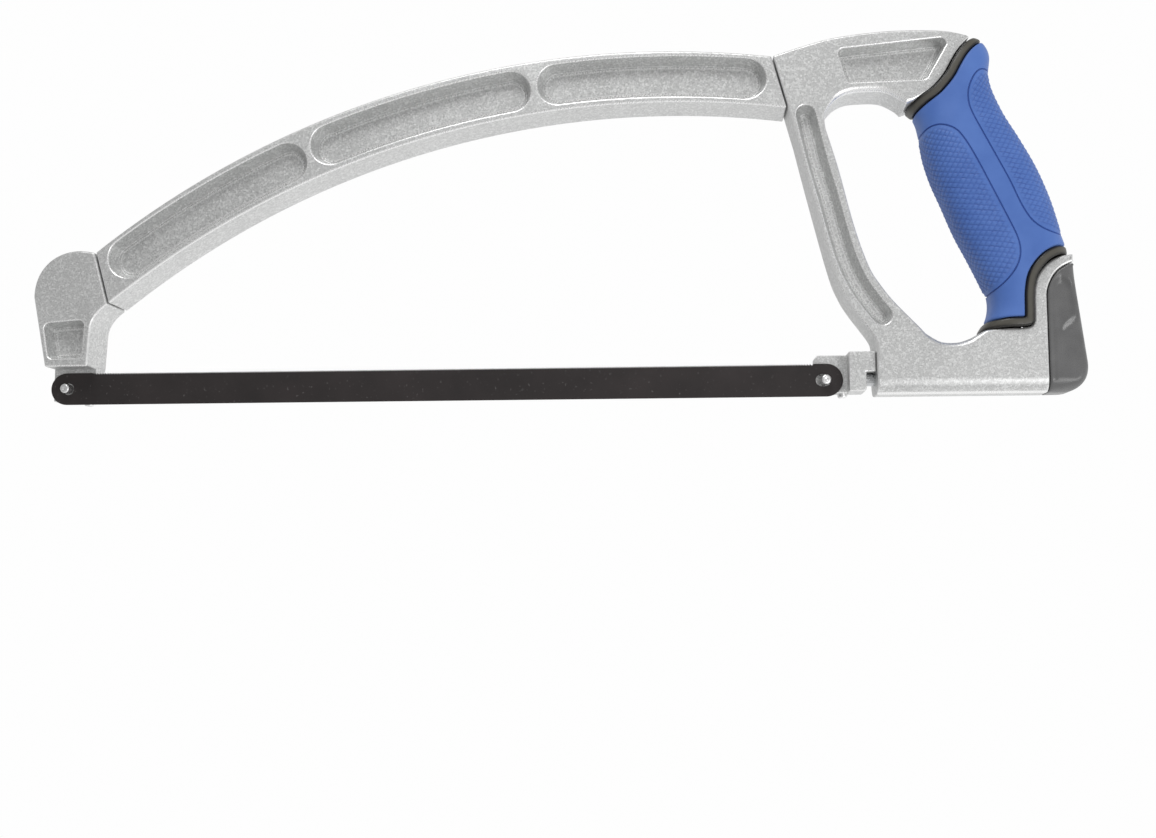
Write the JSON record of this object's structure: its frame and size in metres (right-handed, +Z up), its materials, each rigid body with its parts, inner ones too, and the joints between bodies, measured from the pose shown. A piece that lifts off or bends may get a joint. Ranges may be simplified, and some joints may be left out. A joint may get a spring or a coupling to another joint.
{
  "type": "hacksaw",
  "caption": "Hacksaw with a die-cast bow that turns between a high and a low profile, a D handle with a soft grip, a pinned blade and a turning tension knob.",
  "frame": {"origin": "middle of the underside of the box around the saw, in the mid-plane of the castings", "axes": "+X along the blade from nose to handle, +Z up from the blade to the bow, Y through the thickness with the blade lying just on the -Y side of the mid-plane"},
  "size_m": [0.4092, 0.0268, 0.1419],
  "materials": {
    "cast_alloy": "fine blasted die casting, clear coated",
    "black_liner": "smooth hard plastic",
    "blue_grip": "soft moulded grip with two knurled panels",
    "black_knob": "fine eroded plastic",
    "steel": "zinc plated",
    "pin_steel": "bright hardened pins",
    "bronze": "sintered bearing bronze",
    "blade_steel": "blackened spring steel"
  },
  "bodies": {
    "handle": {"handle_frame": "cast_alloy", "grip_liner": "black_liner", "grip_cover": "blue_grip", "thrust_washer": "steel", "rod_guide_bush": "bronze", "spring_seat_washer": "steel", "tension_spring": "steel", "rear_swivel_bush": "bronze", "rear_stud_pin": "steel"},
    "knob": {"tension_knob": "black_knob", "knob_thread_insert": "steel"},
    "holder": {"rear_blade_holder": "cast_alloy", "tension_rod": "steel", "rod_retaining_ring": "steel", "rear_side_pin": "pin_steel", "rear_down_pin": "pin_steel"},
    "bow": {"bow": "cast_alloy", "front_swivel_stud": "steel", "rear_swivel_stud": "steel", "front_swivel_washer": "steel", "rear_swivel_washer": "steel"},
    "nose": {"nose": "cast_alloy", "front_side_pin": "pin_steel", "front_down_pin": "pin_steel", "front_swivel_bush": "bronze", "front_stud_pin": "steel"},
    "blade": {"blade": "blade_steel"}
  },
  "joints": [
    {"name": "bow_swivel", "type": "hinge", "parent": "handle", "child": "bow", "pos_m": [0.091, 0, 0.12265], "axis": [0.965, 0, 0.2622], "range_deg": [0, 180]},
    {"name": "nose_swivel", "type": "hinge", "parent": "bow", "child": "nose", "pos_m": [-0.17727, 0, 0.04976], "axis": [0.965, 0, 0.2622], "range_deg": [-180, 0]},
    {"name": "tension_turn", "type": "hinge", "parent": "handle", "child": "knob", "pos_m": [0.19487, 0, 0.0067], "axis": [1, 0, 0], "range_deg": [0, 675]},
    {"name": "holder_slide", "type": "slide", "parent": "handle", "child": "holder", "axis": [-1, 0, 0], "range_m": [0, 0.0016]},
    {"name": "blade_lift", "type": "slide", "parent": "nose", "child": "blade", "axis": [0, -1, 0], "range_m": [0, 0.03]}
  ],
  "couplings": [
    {"joint": "nose_swivel", "follows": "bow_swivel", "ratio": -1},
    {"joint": "holder_slide", "follows": "tension_turn", "m_per_rad": 0.00012732}
  ]
}
